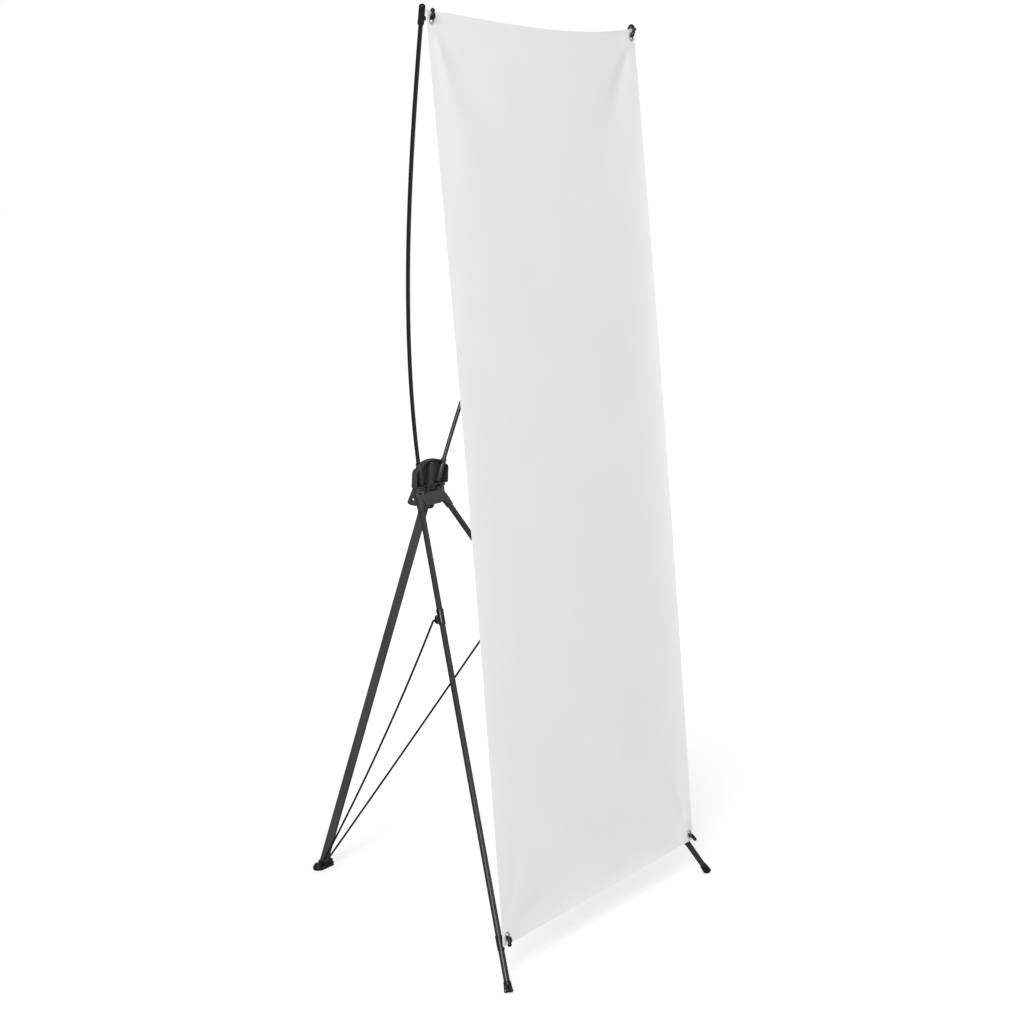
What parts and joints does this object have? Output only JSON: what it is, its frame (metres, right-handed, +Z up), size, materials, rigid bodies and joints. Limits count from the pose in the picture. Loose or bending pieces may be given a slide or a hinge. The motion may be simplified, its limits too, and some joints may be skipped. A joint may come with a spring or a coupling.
{
  "type": "x-banner stand",
  "caption": "Folding banner stand: moulded hub on two front legs and a rear leg with wire struts, and two bent poles that hold a tall blank banner by hooks.",
  "frame": {"origin": "on the floor, midway between the banner's sides and midway between the foremost and rearmost points of the feet", "axes": "+X to the right of someone who faces the banner's front, -Y towards that viewer, +Y towards the rear leg, +Z up"},
  "size_m": [0.8652, 0.7886, 1.8828],
  "materials": {
    "banner": "smooth matte white display film",
    "eyelet": "nickel plated",
    "black_plastic": "satin moulded",
    "grey_plastic": "satin moulded, charcoal",
    "leg_tube": "satin black",
    "wire": "satin black",
    "pole": "smooth black fibre-reinforced rod",
    "foot_rubber": "matte",
    "steel": "bright"
  },
  "bodies": {
    "hub": {"hub_block": "black_plastic", "leg_yoke": "grey_plastic", "hub_screw": "steel", "front_leg_pin_left": "steel", "front_leg_pin_right": "steel", "rear_leg_pin": "steel"},
    "front_leg_left": {"leg_socket_left": "black_plastic", "front_leg_tube_left": "leg_tube", "lower_clip_left": "black_plastic", "foot_cap_left": "foot_rubber"},
    "front_leg_right": {"leg_socket_right": "black_plastic", "front_leg_tube_right": "leg_tube", "lower_clip_right": "black_plastic", "foot_cap_right": "foot_rubber"},
    "collar_left": {"leg_collar_left": "black_plastic"},
    "collar_right": {"leg_collar_right": "black_plastic"},
    "rear_leg": {"rear_leg_plug": "black_plastic", "rear_leg_tube": "leg_tube", "rear_foot": "foot_rubber"},
    "strut_left": {"strut_left": "wire"},
    "strut_right": {"strut_right": "wire"},
    "pole_left": {"pole_left": "pole", "pole_cap_left": "black_plastic"},
    "pole_right": {"pole_right": "pole", "pole_cap_right": "black_plastic"},
    "banner_set": {"banner": "banner", "eyelet_top_left": "eyelet", "eyelet_top_right": "eyelet", "eyelet_bottom_left": "eyelet", "eyelet_bottom_right": "eyelet"}
  },
  "joints": [
    {"name": "rear_leg_fold", "type": "hinge", "parent": "hub", "child": "rear_leg", "pos_m": [0, 0.08878, 0.868], "axis": [-1, 0, 0], "range_deg": [0, 18.73]},
    {"name": "front_leg_left_fold", "type": "hinge", "parent": "hub", "child": "front_leg_left", "pos_m": [-0.0405, 0.07788, 0.8845], "axis": [0.7702, -0.6378, 0], "range_deg": [0, 34.22]},
    {"name": "front_leg_right_fold", "type": "hinge", "parent": "hub", "child": "front_leg_right", "pos_m": [0.0405, 0.07788, 0.8845], "axis": [0.7702, 0.6378, 0], "range_deg": [0, 34.22]},
    {"name": "collar_left_slide", "type": "slide", "parent": "front_leg_left", "child": "collar_left", "axis": [0.3586, 0.433, 0.827], "range_m": [0, 0.1313]},
    {"name": "collar_right_slide", "type": "slide", "parent": "front_leg_right", "child": "collar_right", "axis": [-0.3586, 0.433, 0.827], "range_m": [0, 0.1313]},
    {"name": "strut_left_swing", "type": "hinge", "parent": "rear_leg", "child": "strut_left", "pos_m": [-0.0092, 0.36988, 0.022], "axis": [-0.8731, 0.4759, 0.1057], "range_deg": [0, 16.41]},
    {"name": "strut_right_swing", "type": "hinge", "parent": "rear_leg", "child": "strut_right", "pos_m": [0.0092, 0.36988, 0.022], "axis": [-0.8731, -0.4759, -0.1057], "range_deg": [0, 16.41]},
    {"name": "pole_left_pull_out", "type": "slide", "parent": "hub", "child": "pole_left", "axis": [-0.3376, -0.093, 0.9367], "range_m": [0, 0.18]},
    {"name": "pole_right_pull_out", "type": "slide", "parent": "hub", "child": "pole_right", "axis": [0.3376, -0.093, 0.9367], "range_m": [0, 0.18]},
    {"name": "banner_unhook", "type": "slide", "parent": "hub", "child": "banner_set", "axis": [0, -1, 0], "range_m": [0, 0.15]}
  ],
  "couplings": [
    {"joint": "front_leg_left_fold", "follows": "rear_leg_fold", "ratio": 1.8265},
    {"joint": "front_leg_right_fold", "follows": "rear_leg_fold", "ratio": 1.8265},
    {"joint": "collar_left_slide", "follows": "rear_leg_fold", "m_per_rad": 0.40136},
    {"joint": "collar_right_slide", "follows": "rear_leg_fold", "m_per_rad": 0.40136},
    {"joint": "strut_left_swing", "follows": "rear_leg_fold", "ratio": 0.87578},
    {"joint": "strut_right_swing", "follows": "rear_leg_fold", "ratio": 0.87578}
  ]
}
